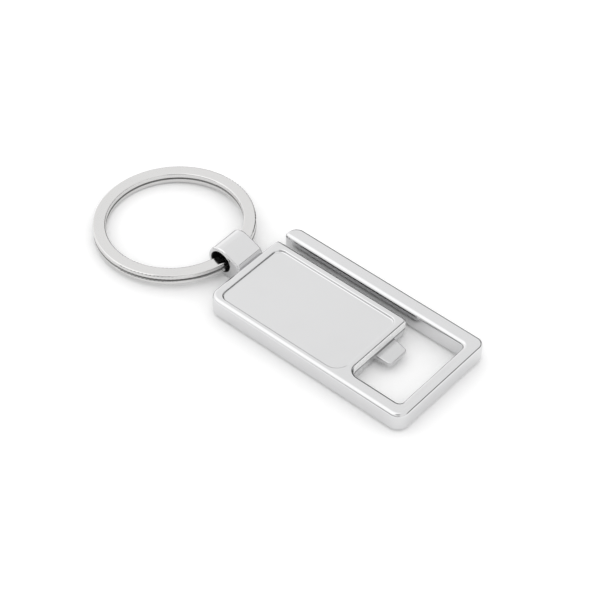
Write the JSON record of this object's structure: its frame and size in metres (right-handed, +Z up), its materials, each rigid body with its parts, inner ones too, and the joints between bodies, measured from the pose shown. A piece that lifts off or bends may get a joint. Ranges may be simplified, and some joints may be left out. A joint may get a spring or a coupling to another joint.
{
  "type": "keychain bottle opener",
  "caption": "Flat cast-metal keychain bottle opener with a cap tooth in its end opening, a free side rail, a blank recessed plate, and a flat-wire split ring through the eye.",
  "frame": {"origin": "centre of the opener body's flat back, on the surface that it lies on", "axes": "+X along the body from the ring to the end bar with the opening, +Y across the body towards the free rail, +Z up out of the plate's recessed face"},
  "size_m": [0.0821, 0.032, 0.0063],
  "materials": {
    "cast_body": "polished bright nickel-chrome plate on zinc casting",
    "ring_wire": "polished nickel-plated spring steel wire"
  },
  "bodies": {
    "opener": {"opener_body": "cast_body"},
    "ring": {"split_ring": "ring_wire"}
  },
  "joints": [
    {"name": "ring_swing", "type": "hinge", "parent": "opener", "child": "ring", "pos_m": [-0.0283, 0, 0.00315], "axis": [0, 1, 0], "range_deg": [-130, 158]}
  ]
}
